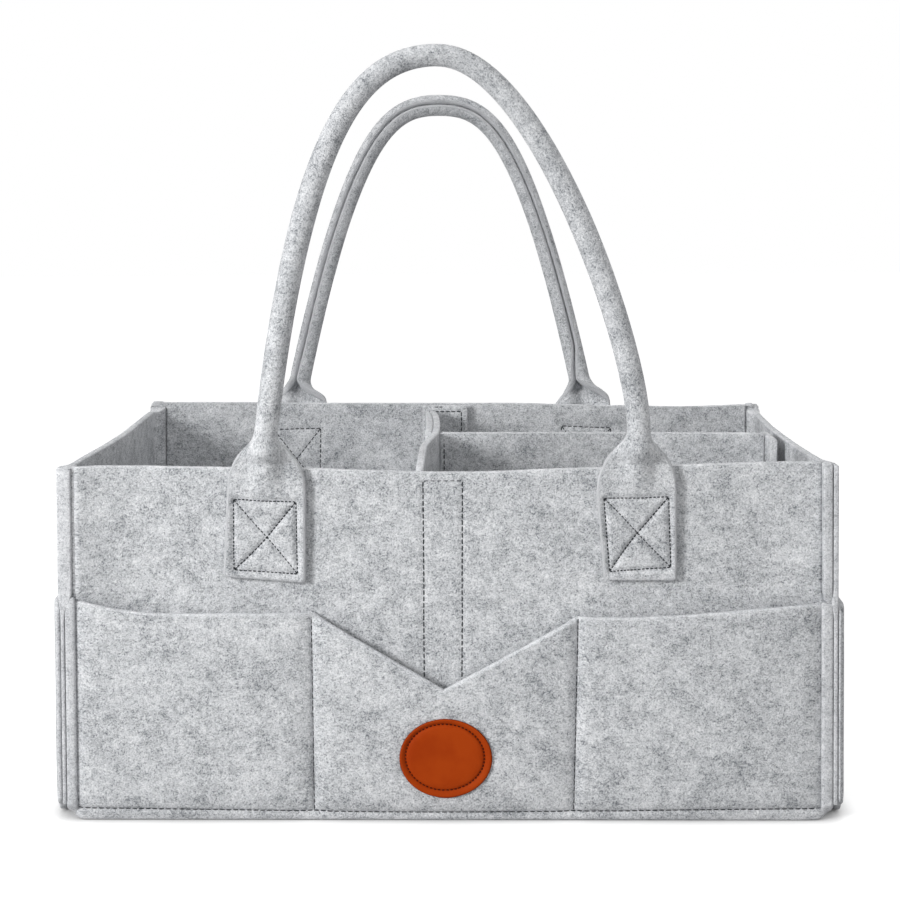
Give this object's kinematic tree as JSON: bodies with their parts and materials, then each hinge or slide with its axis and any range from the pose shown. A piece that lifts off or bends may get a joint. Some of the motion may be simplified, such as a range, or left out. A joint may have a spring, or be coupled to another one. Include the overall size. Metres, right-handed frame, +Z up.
{
  "type": "storage caddy",
  "caption": "Open felt storage caddy with outer pockets, two folding tube handles, a lift-out divider and a leather patch.",
  "frame": {"origin": "on the floor under the middle of the bag's bounding box", "axes": "+X to the right along the long front wall, +Y to the back, +Z up; the front with the patch faces -Y"},
  "size_m": [0.4058, 0.2716, 0.3812],
  "materials": {
    "felt": "matt pressed felt, mottled light grey",
    "fastener_tape": "matt hook and loop tape",
    "leather": "smooth tan leather, satin"
  },
  "bodies": {
    "bag": {"bottom_panel": "felt", "front_panel": "felt", "back_panel": "felt", "left_end_panel": "felt", "right_end_panel": "felt", "front_pocket": "felt", "back_pocket": "felt", "left_end_pocket": "felt", "right_end_pocket": "felt", "front_loop_tape": "fastener_tape", "back_loop_tape": "fastener_tape", "leather_patch": "leather", "front_handle_tab_left": "felt", "front_handle_tab_right": "felt", "back_handle_tab_left": "felt", "back_handle_tab_right": "felt"},
    "front_handle": {"front_handle_loop": "felt"},
    "back_handle": {"back_handle_loop": "felt"},
    "divider": {"cross_divider": "felt", "rear_divider_leaf": "felt", "long_divider": "felt", "right_divider_flap": "felt", "front_divider_flap": "felt", "front_hook_tape": "fastener_tape", "back_divider_flap": "felt", "back_hook_tape": "fastener_tape"}
  },
  "joints": [
    {"name": "front_handle_fold", "type": "hinge", "parent": "bag", "child": "front_handle", "pos_m": [0, -0.1325, 0.184], "axis": [1, 0, 0], "range_deg": [-41, 150]},
    {"name": "back_handle_fold", "type": "hinge", "parent": "bag", "child": "back_handle", "pos_m": [0, 0.1325, 0.184], "axis": [-1, 0, 0], "range_deg": [-41, 150]},
    {"name": "divider_lift", "type": "slide", "parent": "bag", "child": "divider", "axis": [0, 0, 1], "range_m": [0, 0.4]}
  ]
}
